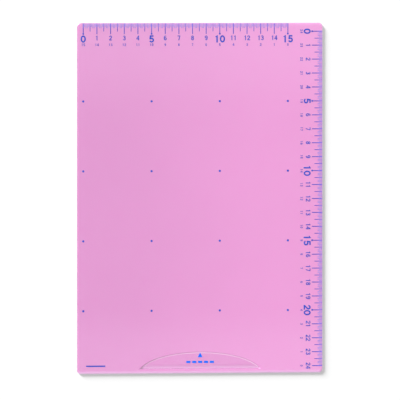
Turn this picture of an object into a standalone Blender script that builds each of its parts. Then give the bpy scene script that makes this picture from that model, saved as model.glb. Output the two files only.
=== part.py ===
"""A pencil board: the stiff translucent sheet that goes under a page to write on.

The board is one moulding with a nail recess at its foot. Two centimetre scales, a grid of position
dots and a pull mark are screen-printed on its face, and each printed mark is a thin solid of ink.
Units are metres, +Z up. The origin is the centre of the underside, +Y points to the edge with the
15 cm scale and +X to the edge with the 24 cm scale.
"""

from math import asin, atan, cos, degrees, pi, radians, sin, sqrt

import bmesh
import bpy

MM = 0.001

# The board.
WIDTH = 180 * MM
HEIGHT = 251 * MM
THICKNESS = 1.2 * MM
CORNER_RADIUS = 3 * MM
CORNER_STEPS = 8
UNDERSIDE_ROUNDING = 0.25 * MM
FACE_ROUNDING = 0.35 * MM
FOOT_BEVEL = 2 * MM
ARC_INSET = 1 - sqrt(0.5)

LEFT, RIGHT = -WIDTH / 2, WIDTH / 2
FOOT, HEAD = -HEIGHT / 2, HEIGHT / 2

# The nail recess: the upper part of an ellipse above a straight lip. Its floor falls gently from
# the ellipse's top to a crease, and steeply from there to the lip, where a fingernail catches.
RECESS_HALF_WIDTH = 46 * MM
RECESS_RISE = 16.4 * MM
RECESS_CENTRE = FOOT - 1.1 * MM
RECESS_TOP = RECESS_CENTRE + RECESS_RISE
CREASE = FOOT + 6.6 * MM
LIP = FOOT + 3.4 * MM
DEPTH_AT_TOP = 0.12 * MM
DEPTH_AT_CREASE = 0.22 * MM
DEPTH_AT_LIP = 0.55 * MM
FLOOR_SLOPE = (DEPTH_AT_CREASE - DEPTH_AT_TOP) / (RECESS_TOP - CREASE)
RECESS_STEP = 4
CUTTER_HEADROOM = 1 * MM

# The ink lies a hair above the surface that it is printed on, so that the solids stay apart.
INK_GAP = 0.01 * MM
INK_THICKNESS = 0.03 * MM

# The two scales. A tick is its length, measured in from the edge of the board, and its width.
TOP_SCALE_CM = 15
SIDE_SCALE_CM = 24
TOP_SCALE_ZERO = (LEFT + 4.4 * MM, HEAD)
SIDE_SCALE_ZERO = (RIGHT, HEAD - 6 * MM)
CM_TICK = (7.9 * MM, 0.5 * MM)
HALF_CM_TICK = (6 * MM, 0.4 * MM)
LONG_MM_TICK = (3.7 * MM, 0.27 * MM)
SHORT_MM_TICK = (2.7 * MM, 0.27 * MM)
HAIRLINE_OUTER = 0.5 * MM
HAIRLINE_INNER = 0.6 * MM

# Every fifth centimetre has a round pip at the end of its tick, and a bold numeral.
BOLD_EVERY_CM = 5
PIP_CENTRE = 7.7 * MM
PIP_RADIUS = 0.62 * MM
PIP_STEP = 30
NUMERAL_TOP = 8.8 * MM
NUMERAL_HEIGHT = 5.15 * MM

# A bold digit's proportions, as fractions of its height. Digits stand one pitch apart.
DIGIT_STEP = 15
STROKE = 0.19
NOUGHT_WIDTH = 0.73
BOWL_OF_TWO = 0.32
BOWL_OF_FIVE = 0.34
DIGIT_PITCH = 0.75

# The position dots stand where lines from the bold marks of both scales cross.
DOT_RADIUS = 0.8 * MM
DOT_STEP = 30
DOT_GRID = 4
DOT_PITCH = 50 * MM

# The pull mark in the recess, and the plain bar in the left corner of the foot.
ARROW_WIDTH = 3.5 * MM
ARROW_HEIGHT = 3.3 * MM
ARROW_BASE = FOOT + 11.6 * MM
DASHES = 5
DASH_LENGTH = 3 * MM
DASH_HEIGHT = 1.5 * MM
DASH_PITCH = 4.3 * MM
DASH_MIDDLE = FOOT + 8.2 * MM
CORNER_BAR_LENGTH = 14 * MM
CORNER_BAR_HEIGHT = 0.9 * MM
CORNER_BAR_MIDDLE = (LEFT + 13.5 * MM, FOOT + 5.6 * MM)


def make_material(name, colour, roughness):
    material = bpy.data.materials.new(name)
    material.use_nodes = True
    shader = material.node_tree.nodes["Principled BSDF"]
    shader.inputs["Base Color"].default_value = (*colour, 1)
    shader.inputs["Roughness"].default_value = roughness
    shader.inputs["Metallic"].default_value = 0
    return material


def add_object(name, mesh, place=(0, 0, 0), turn=(0, 0, 0)):
    obj = bpy.data.objects.new(name, mesh)
    obj.location = place
    obj.rotation_euler = turn
    bpy.context.scene.collection.objects.link(obj)
    return obj


def make_mesh(name, bm, material):
    bmesh.ops.recalc_face_normals(bm, faces=bm.faces)
    mesh = bpy.data.meshes.new(name)
    bm.to_mesh(mesh)
    bm.free()
    mesh.materials.append(material)
    return mesh


def arc(centre, radii, start, end, size=DIGIT_STEP):
    """Points along an ellipse from one angle to another, about one step's size apart, in degrees."""
    steps = round(abs(end - start) / size)
    points = []
    for step in range(steps + 1):
        angle = radians(start + (end - start) * step / steps)
        points.append((centre[0] + radii[0] * cos(angle), centre[1] + radii[1] * sin(angle)))
    return points


def bridge(bm, lower, upper):
    """Closes the wall between two loops that have the same number of points."""
    for i in range(len(lower)):
        bm.faces.new((lower[i - 1], lower[i], upper[i], upper[i - 1]))


def loft(name, sections, material):
    """A closed solid through sections with the same number of points, capped at both ends."""
    bm = bmesh.new()
    loops = [[bm.verts.new(point) for point in section] for section in sections]
    for lower, upper in zip(loops, loops[1:]):
        bridge(bm, lower, upper)
    bm.faces.new(loops[0])
    bm.faces.new(loops[-1])
    return make_mesh(name, bm, material)


# ---- the board -------------------------------------------------------------------------------


def board_section(height, inset, foot_inset):
    """The board's outline at one height, drawn in by inset, and by foot_inset along the foot."""
    radius = CORNER_RADIUS - inset
    side, top = RIGHT - CORNER_RADIUS, HEAD - CORNER_RADIUS
    bottom = FOOT + foot_inset + radius
    corners = ((side, bottom), (side, top), (-side, top), (-side, bottom))
    section = []
    for quarter, (x, y) in enumerate(corners):
        for step in range(CORNER_STEPS + 1):
            angle = (quarter - 1 + step / CORNER_STEPS) * pi / 2
            section.append((x + radius * cos(angle), y + radius * sin(angle), height))
    return section


def board_mesh(plastic):
    """The sheet, with a rounded rim above and below and a wide shallow bevel along its foot."""
    low, high = UNDERSIDE_ROUNDING, FACE_ROUNDING
    sections = [
        board_section(0, low, low),
        board_section(low * ARC_INSET, low * ARC_INSET, low * ARC_INSET),
        board_section(low, 0, 0),
        board_section(THICKNESS - high, 0, 0),
        board_section(THICKNESS - high * ARC_INSET, high * ARC_INSET, FOOT_BEVEL * ARC_INSET),
        board_section(THICKNESS, high, FOOT_BEVEL),
    ]
    return loft("board", sections, plastic)


def recess_floor(y):
    """The height of the recess's floor at a distance along the board."""
    if y >= CREASE:
        return THICKNESS - DEPTH_AT_TOP - (RECESS_TOP - y) * FLOOR_SLOPE
    share = (CREASE - y) / (CREASE - LIP)
    return THICKNESS - DEPTH_AT_CREASE - (DEPTH_AT_LIP - DEPTH_AT_CREASE) * share


def recess_cutter_mesh(plastic):
    """What the recess takes out of the board: the ellipse above the lip, down to the floor."""
    ellipse = (0, RECESS_CENTRE), (RECESS_HALF_WIDTH, RECESS_RISE)
    lip = degrees(asin((LIP - RECESS_CENTRE) / RECESS_RISE))
    crease = degrees(asin((CREASE - RECESS_CENTRE) / RECESS_RISE))
    right = arc(*ellipse, lip, crease, RECESS_STEP)
    top = arc(*ellipse, crease, 180 - crease, RECESS_STEP)
    left = arc(*ellipse, 180 - crease, 180 - lip, RECESS_STEP)
    outline = right[:-1] + top + left[1:]
    bm = bmesh.new()
    floor = [bm.verts.new((x, y, recess_floor(y))) for x, y in outline]
    above = [bm.verts.new((x, y, THICKNESS + CUTTER_HEADROOM)) for x, y in outline]
    bridge(bm, floor, above)
    bm.faces.new(above)
    bm.faces.new(floor)
    first, last = len(right) - 1, len(right) + len(top) - 2
    bmesh.ops.connect_verts(bm, verts=[floor[first], floor[last]])
    return make_mesh("recess_cutter", bm, plastic)


def make_board(plastic):
    board = add_object("board", board_mesh(plastic))
    cutter = add_object("recess_cutter", recess_cutter_mesh(plastic))
    cutter.hide_render = True
    cutter.display_type = "WIRE"
    cut = board.modifiers.new("recess", "BOOLEAN")
    cut.operation = "DIFFERENCE"
    cut.solver = "EXACT"
    cut.object = cutter


# ---- films of ink ----------------------------------------------------------------------------


def ink_film(name, outline, ink):
    """A film of ink inside one outline."""
    low = [(x, y, 0) for x, y in outline]
    high = [(x, y, INK_THICKNESS) for x, y in outline]
    return loft(name, [low, high], ink)


def ink_ring(name, outer, inner, ink):
    """A film of ink between two outlines that have the same number of points."""
    bm = bmesh.new()
    rings = ((outer, 0), (outer, INK_THICKNESS), (inner, INK_THICKNESS), (inner, 0))
    loops = [[bm.verts.new((x, y, height)) for x, y in outline] for outline, height in rings]
    for k in range(len(loops)):
        bridge(bm, loops[k - 1], loops[k])
    return make_mesh(name, bm, ink)


def bar(name, length, height, ink):
    x, y = length / 2, height / 2
    return ink_film(name, [(-x, -y), (x, -y), (x, y), (-x, y)], ink)


def on_face(x, y):
    return (x, y, THICKNESS + INK_GAP)


def on_scale(zero, turn, along, inward):
    """A point on the face, so far along a scale from its zero and so far in from the edge."""
    x = zero[0] + along * cos(turn) + inward * sin(turn)
    y = zero[1] + along * sin(turn) - inward * cos(turn)
    return on_face(x, y)


def add_to_recess(name, mesh, x, y):
    """Lays a film on the recess's sloping floor."""
    tilt = atan(FLOOR_SLOPE)
    return add_object(name, mesh, (x, y, recess_floor(y) + INK_GAP / cos(tilt)), (tilt, 0, 0))


# ---- the scales: x runs along the edge from the scale's zero, y is 0 on the edge --------------


def tick_size(millimetre):
    if millimetre % 10 == 0:
        return CM_TICK
    if millimetre % 5 == 0:
        return HALF_CM_TICK
    if millimetre % 10 in (2, 3, 7, 8):
        return LONG_MM_TICK
    return SHORT_MM_TICK


def tick_outline(millimetre):
    """One tick, from the hairline inwards and back. Every fifth centimetre ends in a pip."""
    middle = millimetre * MM
    length, width = tick_size(millimetre)
    left, right = middle - width / 2, middle + width / 2
    end = [(left, -length), (right, -length)]
    if millimetre % (10 * BOLD_EVERY_CM) == 0:
        neck = -PIP_CENTRE + sqrt(PIP_RADIUS ** 2 - (width / 2) ** 2)
        round_end = arc((middle, -PIP_CENTRE), (PIP_RADIUS, PIP_RADIUS), 120, 420, PIP_STEP)
        end = [(left, neck), *round_end, (right, neck)]
    return [(left, -HAIRLINE_INNER), *end, (right, -HAIRLINE_INNER)]


def scale_mesh(name, centimetres, ink):
    """All the ticks of a scale, joined at their outer ends by a hairline along the edge."""
    outline = []
    for millimetre in range(centimetres * 10 + 1):
        outline += tick_outline(millimetre)
    outline += [(outline[-1][0], -HAIRLINE_OUTER), (outline[0][0], -HAIRLINE_OUTER)]
    return ink_film(name, outline, ink)


def nought():
    last = 360 - DIGIT_STEP
    outer = arc((0, 0.5), (NOUGHT_WIDTH / 2, 0.5), 0, last)
    inner = arc((0, 0.5), (NOUGHT_WIDTH / 2 - STROKE, 0.5 - STROKE), 0, last)
    return [outer, inner]


def one():
    stem = [(0.08 - STROKE, 0), (0.08, 0), (0.08, 1), (-0.03, 1)]
    flag = [(-0.1, 0.9), (-0.24, 0.87), (-0.24, 0.73), (0.08 - STROKE, 0.77)]
    return [[*stem, *flag]]


def two():
    bowl = (0, 1 - BOWL_OF_TWO)
    base = [(-0.32, 0.16), (-0.32, 0), (0.32, 0), (0.32, STROKE), (-0.03, STROKE)]
    outer = arc(bowl, (BOWL_OF_TWO, BOWL_OF_TWO), -35, 180)
    inner = arc(bowl, (BOWL_OF_TWO - STROKE, BOWL_OF_TWO - STROKE), 180, -35)
    return [[*base, *outer, *inner]]


def five():
    bowl = (0, BOWL_OF_FIVE)
    outer = arc(bowl, (BOWL_OF_FIVE, BOWL_OF_FIVE), -160, 106)
    top = [(-0.07, 1 - STROKE), (0.27, 1 - STROKE), (0.27, 1), (-0.24, 1), (-0.31, 0.46)]
    inner = arc(bowl, (BOWL_OF_FIVE - STROKE, BOWL_OF_FIVE - STROKE), 140, -160)
    return [[*outer, *top, *inner]]


def digit_mesh(digit, ink):
    """A bold digit that stands on y = 0, with the middle of its place at x = 0."""
    outlines = {"0": nought, "1": one, "2": two, "5": five}[digit]()
    sized = [[(x * NUMERAL_HEIGHT, y * NUMERAL_HEIGHT) for x, y in line] for line in outlines]
    make = ink_ring if len(sized) == 2 else ink_film
    return make(f"digit_{digit}", *sized, ink)


def add_numeral(name, number, zero, turn, digits):
    """A numeral centred on its tick. Each of its digits is a piece of its own."""
    text = str(number)
    for place, digit in enumerate(text):
        aside = (place - (len(text) - 1) / 2) * DIGIT_PITCH * NUMERAL_HEIGHT
        spot = on_scale(zero, turn, number * 10 * MM + aside, NUMERAL_TOP + NUMERAL_HEIGHT)
        ending = "" if len(text) == 1 else "_tens" if place == 0 else "_units"
        add_object(name + ending, digits[digit], spot, (0, 0, turn))


def add_scale(side, centimetres, zero, turn, digits, ink):
    ticks = scale_mesh(f"{side}_scale", centimetres, ink)
    add_object(f"{side}_scale", ticks, on_face(*zero), (0, 0, turn))
    for number in range(0, centimetres + 1, BOLD_EVERY_CM):
        add_numeral(f"{side}_numeral_{number}", number, zero, turn, digits)


# ---- the other marks -------------------------------------------------------------------------


def add_position_dots(ink):
    outline = arc((0, 0), (DOT_RADIUS, DOT_RADIUS), 0, 360 - DOT_STEP, DOT_STEP)
    dot = ink_film("position_dot", outline, ink)
    for row in range(DOT_GRID):
        for column in range(DOT_GRID):
            x = TOP_SCALE_ZERO[0] + column * DOT_PITCH
            y = SIDE_SCALE_ZERO[1] - (row + 1) * DOT_PITCH
            add_object(f"position_dot_{row + 1}_{column + 1}", dot, on_face(x, y))


def add_pull_mark(ink):
    """An arrowhead over a row of dashes, where a fingernail lifts the board."""
    half = ARROW_WIDTH / 2
    arrow = ink_film("pull_arrow", [(-half, 0), (half, 0), (0, ARROW_HEIGHT)], ink)
    add_to_recess("pull_arrow", arrow, 0, ARROW_BASE)
    dash = bar("pull_dash", DASH_LENGTH, DASH_HEIGHT, ink)
    for number in range(DASHES):
        x = (number - (DASHES - 1) / 2) * DASH_PITCH
        add_to_recess(f"pull_dash_{number + 1}", dash, x, DASH_MIDDLE)


def main():
    for obj in list(bpy.data.objects):
        bpy.data.objects.remove(obj)
    plastic = make_material("pink_plastic", (0.84, 0.37, 0.7), 0.45)
    violet_ink = make_material("violet_ink", (0.05, 0.09, 0.53), 0.5)
    blue_ink = make_material("blue_ink", (0.01, 0.16, 0.9), 0.5)
    make_board(plastic)
    digits = {digit: digit_mesh(digit, violet_ink) for digit in "0125"}
    add_scale("top", TOP_SCALE_CM, TOP_SCALE_ZERO, 0, digits, violet_ink)
    add_scale("side", SIDE_SCALE_CM, SIDE_SCALE_ZERO, -pi / 2, digits, violet_ink)
    add_position_dots(violet_ink)
    add_pull_mark(blue_ink)
    corner_bar = bar("corner_bar", CORNER_BAR_LENGTH, CORNER_BAR_HEIGHT, violet_ink)
    add_object("corner_bar", corner_bar, on_face(*CORNER_BAR_MIDDLE))


main()
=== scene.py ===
"""A pink pencil board lying on a white table: the looks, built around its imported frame."""

from math import acos, asin, cos, degrees, pi, radians, sin, sqrt

import bmesh
import bpy
from mathutils import Matrix, Vector


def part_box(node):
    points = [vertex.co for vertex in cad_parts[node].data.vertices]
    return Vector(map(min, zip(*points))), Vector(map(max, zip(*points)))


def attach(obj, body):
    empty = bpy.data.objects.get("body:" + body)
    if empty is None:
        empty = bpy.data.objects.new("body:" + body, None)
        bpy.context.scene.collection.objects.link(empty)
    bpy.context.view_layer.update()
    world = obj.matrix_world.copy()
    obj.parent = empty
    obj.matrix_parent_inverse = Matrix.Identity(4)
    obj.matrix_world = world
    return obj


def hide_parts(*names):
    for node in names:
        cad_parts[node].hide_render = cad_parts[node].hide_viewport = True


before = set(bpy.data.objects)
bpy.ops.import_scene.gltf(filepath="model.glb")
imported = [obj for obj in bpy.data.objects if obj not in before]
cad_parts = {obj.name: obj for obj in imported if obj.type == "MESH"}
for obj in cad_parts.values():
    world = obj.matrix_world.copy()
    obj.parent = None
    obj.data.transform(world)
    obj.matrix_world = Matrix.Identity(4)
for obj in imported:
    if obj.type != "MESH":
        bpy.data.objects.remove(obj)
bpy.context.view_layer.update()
MM = 0.001

# ---- The moulded board -----------------------------------------------------------------------
# One sheet of stiff translucent plastic, moulded with a satin face and a rounded rim.
# Its foot has a wide shallow bevel and, in the middle, a scooped recess for a fingernail.

board_low, board_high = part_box("board")
LEFT, RIGHT = board_low.x, board_high.x
FOOT, HEAD = board_low.y, board_high.y
THICKNESS = board_high.z

CORNER_RADIUS = 3 * MM
CORNER_STEP = 6
UNDERSIDE_ROUNDING = 0.25 * MM
FACE_ROUNDING = 0.35 * MM
ROUNDING_STEPS = 6
FOOT_BEVEL = 2 * MM

RECESS_HALF_WIDTH = 46 * MM
RECESS_RISE = 16.4 * MM
RECESS_CENTRE = FOOT - 1.1 * MM
RECESS_TOP = RECESS_CENTRE + RECESS_RISE
RECESS_STEPS = 72
CREASE = FOOT + 6.6 * MM
LIP = FOOT + 3.4 * MM
DEPTH_AT_TOP = 0.12 * MM
DEPTH_AT_CREASE = 0.22 * MM
DEPTH_AT_LIP = 0.5 * MM
FLOOR_SLOPE = (DEPTH_AT_CREASE - DEPTH_AT_TOP) / (RECESS_TOP - CREASE)
WALL_WIDTH = 0.4 * MM
WALL_STEPS = 6
SCOOP_STEPS = 12
LIP_STEPS = 40


def arc(centre, radii, start, end, size):
    """Points along an ellipse from one angle to another, with steps of about size degrees."""
    steps = max(1, round(abs(end - start) / size))
    points = []
    for step in range(steps + 1):
        angle = radians(start + (end - start) * step / steps)
        points.append((centre[0] + radii[0] * cos(angle), centre[1] + radii[1] * sin(angle)))
    return points


def board_section(height, inset, foot_inset):
    """The sheet's outline at one height, drawn in by inset, and by foot_inset along the foot."""
    radius = CORNER_RADIUS - inset
    side, top = RIGHT - CORNER_RADIUS, HEAD - CORNER_RADIUS
    bottom = FOOT + foot_inset + radius
    section = []
    for turn, x, y in ((-90, side, bottom), (0, side, top), (90, -side, top), (180, -side, bottom)):
        section += arc((x, y), (radius, radius), turn, turn + 90, CORNER_STEP)
    return [(x, y, height) for x, y in section]


def recess_depth(y):
    """The recess's floor falls gently to the crease, then scoops down to the lip."""
    if y >= CREASE:
        return DEPTH_AT_TOP + (RECESS_TOP - y) * FLOOR_SLOPE
    share = (CREASE - y) / (CREASE - LIP)
    return DEPTH_AT_CREASE + (DEPTH_AT_LIP - DEPTH_AT_CREASE) * share ** 1.3


def recess_outline(inward):
    """Once round from the lip's right end, drawn inward: right flank, top, left flank and lip."""
    radii = (RECESS_HALF_WIDTH - inward, RECESS_RISE - inward)
    rows = [LIP + inward + (CREASE - LIP - inward) * row / SCOOP_STEPS for row in range(SCOOP_STEPS)]
    flank = [(radii[0] * sqrt(1 - ((y - RECESS_CENTRE) / radii[1]) ** 2), y) for y in rows]
    crease = degrees(asin((CREASE - RECESS_CENTRE) / radii[1]))
    top = arc((0, RECESS_CENTRE), radii, crease, 180 - crease, (180 - 2 * crease) / RECESS_STEPS)
    half, low = flank[0]
    lip = [(half * (2 * step / LIP_STEPS - 1), low) for step in range(1, LIP_STEPS)]
    return flank + top + [(-x, y) for x, y in reversed(flank)] + lip


def ring(bm, points):
    return [bm.verts.new(point) for point in points]


def bridge(bm, lower, upper):
    for i in range(len(lower)):
        bm.faces.new((lower[i - 1], lower[i], upper[i], upper[i - 1]))


def fill(bm, *rings):
    """Fills the flat area inside the first ring and outside the others, and returns its faces."""
    edges = [bm.edges.get((loop[i - 1], loop[i])) or bm.edges.new((loop[i - 1], loop[i]))
             for loop in rings for i in range(len(loop))]
    made = bmesh.ops.triangle_fill(bm, edges=edges, use_beauty=True)
    return [item for item in made["geom"] if isinstance(item, bmesh.types.BMFace)]


def add_piece(name, bm, finish):
    """Puts a finished mesh in its place as a piece that rides with the board."""
    bmesh.ops.recalc_face_normals(bm, faces=bm.faces)
    mesh = bpy.data.meshes.new(name)
    bm.to_mesh(mesh)
    bm.free()
    mesh.materials.append(finish)
    piece = bpy.data.objects.new(name, mesh)
    bpy.context.scene.collection.objects.link(piece)
    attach(piece, "root")
    return piece


def board_body():
    bm = bmesh.new()
    loops = []
    for step in range(ROUNDING_STEPS + 1):
        turn = pi / 2 * step / ROUNDING_STEPS
        inset = UNDERSIDE_ROUNDING * (1 - sin(turn))
        loops.append(ring(bm, board_section(UNDERSIDE_ROUNDING * (1 - cos(turn)), inset, inset)))
    for step in range(ROUNDING_STEPS + 1):
        turn = pi / 2 * step / ROUNDING_STEPS
        height = THICKNESS - FACE_ROUNDING * (1 - sin(turn))
        share = 1 - cos(turn)
        loops.append(ring(bm, board_section(height, FACE_ROUNDING * share, FOOT_BEVEL * share)))
    for lower, upper in zip(loops, loops[1:]):
        bridge(bm, lower, upper)

    walls = []
    for step in range(WALL_STEPS + 1):
        share = step / WALL_STEPS
        fall = share * share * (3 - 2 * share)
        outline = recess_outline(WALL_WIDTH * (share - 0.5))
        walls.append(ring(bm, [(x, y, THICKNESS - recess_depth(y) * fall) for x, y in outline]))
    for lower, upper in zip(walls, walls[1:]):
        bridge(bm, lower, upper)
    floor = walls[-1]
    for i in range(len(floor)):
        bm.edges.get((floor[i - 1], floor[i])).smooth = False
    sides, lip = floor[:1 - LIP_STEPS], floor[1 - LIP_STEPS:]
    bm.faces.new((sides[-1], *lip, sides[0], sides[1], sides[-2]))
    for row in range(1, SCOOP_STEPS):
        bm.faces.new((sides[row], sides[row + 1], sides[-row - 2], sides[-row - 1]))
    for face in bm.faces:
        face.smooth = True
    flat = [bm.faces.new(sides[SCOOP_STEPS:-SCOOP_STEPS]), bm.faces.new(loops[0])]
    flat += fill(bm, loops[-1], walls[0])
    for face in flat:
        face.smooth = False
    return bm


class Value:
    """An output of a shader node. Python's arithmetic on it adds Math nodes to its material."""

    def __init__(self, tree, socket):
        self.tree, self.socket = tree, socket

    def node(self, kind, settings, inputs, output=0):
        """Adds a node: its settings come first, then the values or links of its sockets."""
        made = self.tree.nodes.new(kind)
        for name, setting in settings.items():
            setattr(made, name, setting)
        for name, value in inputs.items():
            if isinstance(value, Value):
                self.tree.links.new(value.socket, made.inputs[name])
            else:
                made.inputs[name].default_value = value
        return Value(self.tree, made.outputs[output])

    def math(self, operation, *values):
        inputs = dict(enumerate((self, *values)))
        return self.node("ShaderNodeMath", {"operation": operation}, inputs)

    def __add__(self, other):
        return self.math("ADD", other)

    def __sub__(self, other):
        return self.math("SUBTRACT", other)

    def __mul__(self, other):
        return self.math("MULTIPLY", other)

    def __truediv__(self, other):
        return self.math("DIVIDE", other)

    __radd__ = __add__
    __rmul__ = __mul__

    def part(self, axis):
        """One coordinate of a vector: 0 for x, 1 for y, 2 for z."""
        return self.node("ShaderNodeSeparateXYZ", {}, {"Vector": self}, axis)

    def rise(self, low, high):
        """0 where this is at low, 1 where it is at high, and smooth between."""
        inputs = {"Value": self, "From Min": low, "From Max": high}
        return self.node("ShaderNodeMapRange", {"interpolation_type": "SMOOTHSTEP"}, inputs)

    def blend(self, low, high):
        """The colour low where this is 0, and high where it is 1."""
        return self.node("ShaderNodeMix", {"data_type": "RGBA"}, {0: self, 6: low, 7: high}, 2)

    def noise(self, scale, detail=2):
        """Cloudy noise over a place, from 0 to 1 and mostly near a half."""
        return self.node("ShaderNodeTexNoise", {}, {"Vector": self, "Scale": scale, "Detail": detail})

    def bump(self, strength, distance):
        """The surface's normal, tipped as if this were its height."""
        inputs = {"Strength": strength, "Distance": distance, "Height": self}
        return self.node("ShaderNodeBump", {}, inputs)


def make_finish(name, paint, fixed):
    """A material. paint takes the place on the piece and gives what varies over it."""
    finish = bpy.data.materials.new(name)
    finish.use_nodes = True
    tree = finish.node_tree
    shader = tree.nodes["Principled BSDF"]
    place = Value(tree, tree.nodes.new("ShaderNodeTexCoord").outputs["Object"])
    for socket, value in paint(place).items():
        tree.links.new(value.socket, shader.inputs[socket])
    for socket, value in fixed.items():
        shader.inputs[socket].default_value = value
    return finish


PINK = (0.785, 0.350, 0.655, 1)
# The colours below paint light and shade over the sheet's pink, in order: shade to the left (mixed
# with real mottle), shade on the recess floor, light where the sheet is thin and toward its ends,
# light on the foot bevel, a highlight along the recess's edge, shade on rims and walls that face the
# lamp and a glow on the far rims. The last rows set how strong the painted shade, mottle and light
# are.
SHADE_AND_MOTTLE_PINK = (0.69, 0.317, 0.587, 1)
FLOOR_SHADE_PINK = (0.72, 0.32, 0.61, 1)
PAINTED_LIGHT_PINK = (0.91, 0.54, 0.83, 1)
BEVEL_LIGHT_PINK = (0.95, 0.57, 0.89, 1)
ARC_HIGHLIGHT_PINK = (0.92, 0.59, 0.82, 1)
RIM_SHADE_PINK = (0.24, 0.10, 0.20, 1)
WALL_SHADE_PINK = (0.36, 0.27, 0.33, 1)
GLOW_PINK = (1.0, 0.82, 1.0, 1)
LEFT_PAINTED_SHADE, MOTTLE = 0.75, 0.12
END_PAINTED_LIGHT, HEAD_PAINTED_LIGHT = 0.15, 0.2
LIP_SHADE = 0.85


def out_of_recess(x, y):
    """How far a place lies outside the recess's ellipse, and less than 0 inside it."""
    across = x / RECESS_HALF_WIDTH
    along = (y - RECESS_CENTRE) / RECESS_RISE
    steep_x = across * (2 / RECESS_HALF_WIDTH)
    steep_y = along * (2 / RECESS_RISE)
    steepness = (steep_x * steep_x + steep_y * steep_y).math("SQRT")
    return (across * across + along * along - 1) / steepness


def satin_pink(place):
    """Mottled pink, with light and shade painted in. Painted shade deepens it to the left and lies on
    the recess floor. Painted light makes it paler in the thin scoop, toward both ends and on the foot
    bevel, and a painted highlight runs along the recess's edge. The rims and walls that face the
    lamp, and the lip, get painted shade, and the rims on the far side a painted glow."""
    x, y, z = place.part(0), place.part(1), place.part(2)
    cloud = place.noise(14, 3).rise(0.3, 0.7)
    speck = place.noise(2600, 1).rise(0.35, 0.65)
    # Painted shade that deepens the pink toward the left, mixed with the sheet's own random mottle.
    shade_and_mottle = x.rise(RIGHT - 30 * MM, LEFT + 20 * MM) * LEFT_PAINTED_SHADE + (cloud + speck) * MOTTLE
    colour = shade_and_mottle.blend(PINK, SHADE_AND_MOTTLE_PINK)

    outward = out_of_recess(x, y)
    above_lip = y.rise(LIP - 0.1 * MM, LIP + 0.2 * MM)
    floor = outward.rise(0, -0.4 * MM) * above_lip
    # A narrow band just inside the recess's edge, for a painted highlight.
    arc_highlight = floor * outward.rise(-1.05 * MM, -0.6 * MM)
    # The scoop above the lip, where the sheet is thinner; painted light makes it paler, for light
    # passing through the thin plastic.
    scoop_light = z.rise(THICKNESS - 0.2 * MM, THICKNESS - 0.5 * MM) * above_lip
    # Painted shade: the recess floor gets one even pink for the shade on it, in place of the painted
    # shade to the left.
    colour = floor.blend(colour, FLOOR_SHADE_PINK)

    # Painted light: paler toward the head and the foot, and more along the head's last 4 mm.
    ends = y.rise(HEAD - 75 * MM, HEAD - 15 * MM) + y.rise(FOOT + 50 * MM, FOOT + 15 * MM)
    head = y.rise(HEAD - 4 * MM, HEAD)
    # The foot bevel faces away from the lamp; painted light makes it pale, for light coming out
    # through its thin edge.
    bevel = y.rise(FOOT + 2.5 * MM, FOOT + 0.5 * MM)
    colour = (scoop_light + ends * END_PAINTED_LIGHT + head * HEAD_PAINTED_LIGHT).blend(colour, PAINTED_LIGHT_PINK)
    colour = bevel.blend(colour, BEVEL_LIGHT_PINK)
    # A painted highlight along the recess's edge.
    colour = arc_highlight.blend(colour, ARC_HIGHLIGHT_PINK)

    level = place.node("ShaderNodeNewGeometry", {}, {}, 1).part(2)
    lit = x.rise(LEFT + MM, LEFT).math("MAXIMUM", y.rise(HEAD - MM, HEAD))
    lip = y.rise(LIP + 0.6 * MM, LIP + 0.3 * MM) * y.rise(LIP - 0.6 * MM, LIP - 0.3 * MM)
    lip = lip * outward.rise(-0.3 * MM, -1.3 * MM)
    far_side = x.rise(RIGHT - 0.8 * MM, RIGHT - 0.2 * MM)
    far_end = y.rise(FOOT + 0.8 * MM, FOOT)
    rim = level.rise(0.995, 0.9)
    # Painted shade: the rims that face the lamp at the left and the head, and the lip's wall, are
    # painted dark against the lamp's light.
    colour = (rim * lit.math("MAXIMUM", lip * LIP_SHADE)).blend(colour, RIM_SHADE_PINK)
    # Painted shade on the steep walls at the left and the head, which face the lamp.
    colour = (level.rise(0.6, 0.3) * lit).blend(colour, WALL_SHADE_PINK)
    # A painted glow on the rims of the right side and the foot, which face away from the lamp.
    colour = (rim * far_side.math("MAXIMUM", far_end)).blend(colour, GLOW_PINK)
    grain = place.noise(1900, 3) + place.noise(320, 2) * 0.6
    return {
        "Base Color": colour,
        "Roughness": cloud * 0.05 + speck * 0.06 + 0.72,
        "Normal": grain.bump(0.12, 0.02 * MM),
    }


plastic = make_finish("satin_pink", satin_pink, {
    "Specular IOR Level": 0.02,
    "Subsurface Weight": 0.6,
    "Subsurface Radius": (1, 1, 1),
    "Subsurface Scale": 1.2 * MM,
})
board = add_piece("moulded_board", board_body(), plastic)
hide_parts("board")

# ---- The ticks of the two scales -------------------------------------------------------------
# Screen-printed in violet-blue ink straight onto the face: a short scale along the head and a long
# one down the right side. They run out over the rim, and each fifth centimetre ends in a pip.

INK_BOTTOM = THICKNESS + 0.01 * MM
INK_THICKNESS = 0.03 * MM
CM_TICK = (7.9 * MM, 0.5 * MM)
HALF_CM_TICK = (6 * MM, 0.4 * MM)
LONG_MM_TICK = (3.7 * MM, 0.27 * MM)
SHORT_MM_TICK = (2.7 * MM, 0.27 * MM)
EDGE_MARGIN = 0.3 * MM
PIP_CENTRE = 7.7 * MM
PIP_RADIUS = 0.62 * MM
PIP_STEP = 12
BOLD_EVERY_CM = 5
SCALES = {
    "top": (15, (LEFT + 4.4 * MM, HEAD), 0),
    "side": (24, (RIGHT, HEAD - 6 * MM), -pi / 2),
}


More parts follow.
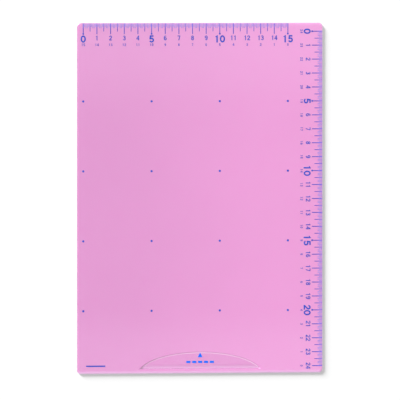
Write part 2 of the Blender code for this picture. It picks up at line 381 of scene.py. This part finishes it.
def stamp(bm, outlines, along, inward, size, zero, turn):
    """Prints a shape, whose outlines have y up, with its origin at one spot of a scale."""
    rings = []
    for outline in outlines:
        points = []
        for x, y in outline:
            a, d = along + x * size, inward - y * size
            point = (zero[0] + a * cos(turn) + d * sin(turn), zero[1] + a * sin(turn) - d * cos(turn))
            points.append((*point, INK_BOTTOM))
        rings.append(ring(bm, points))
    film = fill(bm, *rings)
    grown = bmesh.ops.extrude_face_region(bm, geom=film)
    raised = [item for item in grown["geom"] if isinstance(item, bmesh.types.BMVert)]
    bmesh.ops.translate(bm, verts=raised, vec=(0, 0, INK_THICKNESS))


def tick_size(millimetre):
    if millimetre % 10 == 0:
        return CM_TICK
    if millimetre % 5 == 0:
        return HALF_CM_TICK
    return LONG_MM_TICK if millimetre % 10 in (2, 3, 7, 8) else SHORT_MM_TICK


def tick_outline(millimetre):
    length, width = tick_size(millimetre)
    half = width / 2
    if millimetre % (BOLD_EVERY_CM * 10):
        return [(-half, -length), (half, -length), (half, -EDGE_MARGIN), (-half, -EDGE_MARGIN)]
    neck = degrees(asin(half / PIP_RADIUS))
    pip = arc((0, -PIP_CENTRE), (PIP_RADIUS, PIP_RADIUS), 90 + neck, 450 - neck, PIP_STEP)
    return [*pip, (half, -EDGE_MARGIN), (-half, -EDGE_MARGIN)]


VIOLET = (0.035, 0.075, 0.5, 1)
PALE_VIOLET = (0.06, 0.115, 0.58, 1)
RIM_VIOLET = (0.05, 0.13, 0.76, 1)
LAVENDER = (0.13, 0.24, 0.80, 1)
PALE_LAVENDER = (0.17, 0.28, 0.84, 1)


def printed_violet(place):
    """Ink that lies a little thinner in places, and turns bluer beside the scales' edges."""
    density = place.noise(700, 2).rise(0.35, 0.7)
    across = place.part(0).rise(RIGHT - 5 * MM, RIGHT - 2.5 * MM)
    along = place.part(1).rise(HEAD - 5 * MM, HEAD - 2.5 * MM)
    thin = across.math("MAXIMUM", along)
    return {
        "Base Color": thin.blend(density.blend(VIOLET, PALE_VIOLET), RIM_VIOLET),
        "Roughness": density * 0.12 + 0.7,
        "Normal": place.noise(2400, 2).bump(0.15, 0.02 * MM),
    }


def printed_lavender(place):
    """The same ink in lines so fine that it stays thin and pale."""
    density = place.noise(700, 2).rise(0.35, 0.7)
    return {
        "Base Color": density.blend(LAVENDER, PALE_LAVENDER),
        "Roughness": density * 0.12 + 0.7,
        "Normal": place.noise(2400, 2).bump(0.15, 0.02 * MM),
    }


INK_SHEEN = {"Specular IOR Level": 0.02}
violet_ink = make_finish("violet_ink", printed_violet, INK_SHEEN)
fine_ink = make_finish("fine_violet_ink", printed_lavender, INK_SHEEN)
for side, (centimetres, zero, turn) in SCALES.items():
    long_ticks, fine_ticks = bmesh.new(), bmesh.new()
    for millimetre in range(centimetres * 10 + 1):
        bm = fine_ticks if millimetre % 5 else long_ticks
        stamp(bm, [tick_outline(millimetre)], millimetre * MM, 0, 1, zero, turn)
    ticks = add_piece(f"{side}_ticks", long_ticks, violet_ink)
    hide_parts(f"{side}_scale")
    add_piece(f"{side}_fine_ticks", fine_ticks, fine_ink)

# ---- The small numerals ----------------------------------------------------------------------
# Printed with the ticks, in the same ink. A light numeral stands at each centimetre between the
# bold ones, and a tiny row further in counts the other way.

DIGIT_STEP = 15
LIGHT_TOP, LIGHT_HEIGHT, LIGHT_STROKE, LIGHT_PITCH = 9.0 * MM, 3.35 * MM, 0.16, 0.71
TINY_TOP, TINY_HEIGHT, TINY_STROKE, TINY_PITCH = 14.6 * MM, 1.8 * MM, 0.16, 0.85


def bowl(middle, width, height, start, end):
    """A stretch of an upright ellipse whose middle is at x = 0."""
    return arc((0, middle), (width, height), start, end, DIGIT_STEP)


def oval(middle, width, height):
    return bowl(middle, width, height, 0, 360 - DIGIT_STEP)


def nought(s):
    return [oval(0.5, 0.3, 0.5), oval(0.5, 0.3 - s, 0.5 - s)]


def one(s):
    stem = [(0.1 - s, 0), (0.1, 0), (0.1, 1), (-0.02, 1)]
    return [[*stem, (-0.08, 0.9), (-0.21, 0.86), (-0.21, 0.75), (0.1 - s, 0.79)]]


def two(s):
    outer = bowl(0.7, 0.3, 0.3, -35, 180)
    inner = bowl(0.7, 0.3 - s, 0.3 - s, 180, -35)
    neck, throat = outer[0], inner[-1]
    heel = neck[0] - (neck[1] - s) * (throat[0] + 0.3) / (throat[1] - s)
    return [[(-0.3, s), (-0.3, 0), (0.3, 0), (0.3, s), (heel, s), *outer, *inner]]


def three(s):
    outer = bowl(0.295, 0.295, 0.295, -160, 52) + bowl(0.73, 0.27, 0.27, -48, 160)[1:]
    upper = bowl(0.73, 0.27 - s, 0.27 - s, 160, -90)
    lower = bowl(0.295, 0.295 - s, 0.295 - s, 90, -160)
    return [[*outer, *upper, (-0.08, 0.46 + s), (-0.08, 0.59 - s), *lower]]


def four(s):
    bar = 0.22
    foot = [(0.06, 0), (0.06 + s, 0), (0.06 + s, bar), (0.3, bar), (0.3, bar + s)]
    head = [(0.06 + s, bar + s), (0.06 + s, 1), (0.04, 1), (-0.32, bar + 0.9 * s), (-0.32, bar)]
    return [[*foot, *head, (0.06, bar)], [(0.06, bar + s), (0.06, 0.77), (-0.17, bar + s)]]


def five(s):
    outer = bowl(0.31, 0.31, 0.31, -160, 113)
    flag = [(s - 0.26, 1 - s), (0.27, 1 - s), (0.27, 1), (-0.24, 1), (-0.31, 0.45)]
    return [[*outer, *flag, *bowl(0.31, 0.31 - s, 0.31 - s, 143, -160)]]


def six(s):
    meeting = 360 + degrees(acos(s / 0.3 - 1))
    outer = bowl(0.5, 0.3, 0.5, 45, 180) + bowl(0.31, 0.3, 0.31, 180, meeting)
    return [outer + bowl(0.5, 0.3 - s, 0.5 - s, 163, 45), oval(0.31, 0.3 - s, 0.31 - s)]


def seven(s):
    return [[(-0.13, 0), (1.1 * s - 0.13, 0), (0.29, 1 - 0.8 * s), (0.29, 1), (-0.29, 1),
             (-0.29, 1 - s), (0.14, 1 - s)]]


def eight(s):
    outer = bowl(0.295, 0.295, 0.295, 128, 412) + bowl(0.73, 0.27, 0.27, -48, 228)[1:-1]
    return [outer, oval(0.295, 0.295 - s, 0.295 - s), oval(0.73, 0.27 - s, 0.27 - s)]


def nine(s):
    return [[(-x, 1 - y) for x, y in outline] for outline in six(s)]


DIGITS = (nought, one, two, three, four, five, six, seven, eight, nine)


def stamp_number(bm, number, centimetre, top, height, stroke, pitch, zero, turn):
    """Prints a number centred on a centimetre tick, each digit about one unit tall."""
    text = str(number)
    for place, digit in enumerate(text):
        along = centimetre * 10 * MM + (place - (len(text) - 1) / 2) * pitch * height
        stamp(bm, DIGITS[int(digit)](stroke), along, top + height, height, zero, turn)


for side, (centimetres, zero, turn) in SCALES.items():
    light, tiny = bmesh.new(), bmesh.new()
    for centimetre in range(centimetres + 1):
        if centimetre % BOLD_EVERY_CM:
            stamp_number(light, centimetre, centimetre, LIGHT_TOP, LIGHT_HEIGHT, LIGHT_STROKE,
                         LIGHT_PITCH, zero, turn)
        stamp_number(tiny, centimetres - centimetre, centimetre, TINY_TOP, TINY_HEIGHT, TINY_STROKE,
                     TINY_PITCH, zero, turn)
    add_piece(f"{side}_light_numerals", light, violet_ink)
    add_piece(f"{side}_tiny_numerals", tiny, violet_ink)

# ---- The bold numerals, the position dots and the corner bar ---------------------------------
# The same ink, from the same screen. Their shapes are right as they are.

BOLD_MARKS = ("top_numeral", "side_numeral", "position_dot", "corner_bar")


def give_ink(starts, ink):
    """Gives its ink to each of the frame's own marks whose name starts so."""
    for name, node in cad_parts.items():
        if name.startswith(starts):
            node.data.materials.clear()
            node.data.materials.append(ink)


give_ink(BOLD_MARKS, violet_ink)

# ---- The pull mark -----------------------------------------------------------------------------
# A second screen prints it in bright blue on the recess's floor: an arrowhead and a row of dashes.

BLUE = (0.004, 0.15, 0.95, 1)
PALE_BLUE = (0.02, 0.2, 0.98, 1)


def printed_blue(place):
    """Brighter ink than the violet, a little uneven where it pooled."""
    density = place.noise(900, 2).rise(0.35, 0.7)
    return {
        "Base Color": density.blend(BLUE, PALE_BLUE),
        "Roughness": density * 0.1 + 0.7,
        "Normal": place.noise(2400, 2).bump(0.15, 0.02 * MM),
    }


blue_ink = make_finish("blue_ink", printed_blue, INK_SHEEN)
give_ink("pull_", blue_ink)

# ---- The table and the light -----------------------------------------------------------------
# The board lies on a matt white table. A broad low light stands at its upper left, and white
# walls fill in the rest.

TABLE_REACH = 4
TABLE_DROP = 0.02 * MM
bm = bmesh.new()
bmesh.ops.create_grid(bm, x_segments=4, y_segments=4, size=TABLE_REACH)
table_mesh = bpy.data.meshes.new("table")
bm.to_mesh(table_mesh)
bm.free()
table = bpy.data.objects.new("table", table_mesh)
bpy.context.scene.collection.objects.link(table)
table.location.z = -TABLE_DROP


def matt_white(place):
    return {
        "Base Color": place.noise(3).blend((0.91, 0.91, 0.91, 1), (0.89, 0.89, 0.89, 1)),
        "Roughness": place.noise(40) * 0.1 + 0.8,
        "Normal": place.noise(900).bump(0.05, 0.1 * MM),
    }


table_mesh.materials.append(make_finish("matt_white", matt_white, {"Specular IOR Level": 0}))

KEY_TURN = 135
KEY_ELEVATION = 13
KEY_POWER = 7.8
KEY_WIDTH = 25
key = bpy.data.lights.new("key", "SUN")
key.energy = KEY_POWER
key.angle = radians(KEY_WIDTH)
key_light = bpy.data.objects.new("key", key)
bpy.context.scene.collection.objects.link(key_light)
key_light.rotation_euler = (radians(90 - KEY_ELEVATION), 0, radians(KEY_TURN + 90))

WALLS = 0.595
walls = bpy.data.worlds.new("white_walls")
walls.use_nodes = True
walls.node_tree.nodes["Background"].inputs["Color"].default_value = (1, 1, 1, 1)
walls.node_tree.nodes["Background"].inputs["Strength"].default_value = WALLS
bpy.context.scene.world = walls
bpy.context.scene.view_settings.view_transform = "Standard"

# ---- The camera ------------------------------------------------------------------------------
# It looks down from far away, a little from the left and from the head.

VIEW_SIZE = 286.5 * MM
VIEW_LENS = 1200
VIEW_TURN = radians(-12.45)
VIEW_TIP = radians(1.1)
camera = bpy.data.cameras.new("camera")
camera.lens = VIEW_LENS
distance = VIEW_SIZE * camera.lens / camera.sensor_width
camera.clip_end = 2 * distance
aim = Vector((-0.12 * MM, -1.29 * MM, THICKNESS))
towards = Vector((sin(VIEW_TURN), sin(VIEW_TIP), cos(VIEW_TURN))).normalized()
right = Vector((0, 1, 0)).cross(towards).normalized()
axes = Matrix((right, towards.cross(right), towards)).transposed().to_4x4()
viewpoint = bpy.data.objects.new("camera", camera)
bpy.context.scene.collection.objects.link(viewpoint)
viewpoint.matrix_world = Matrix.Translation(aim + towards * distance) @ axes
bpy.context.scene.camera = viewpoint
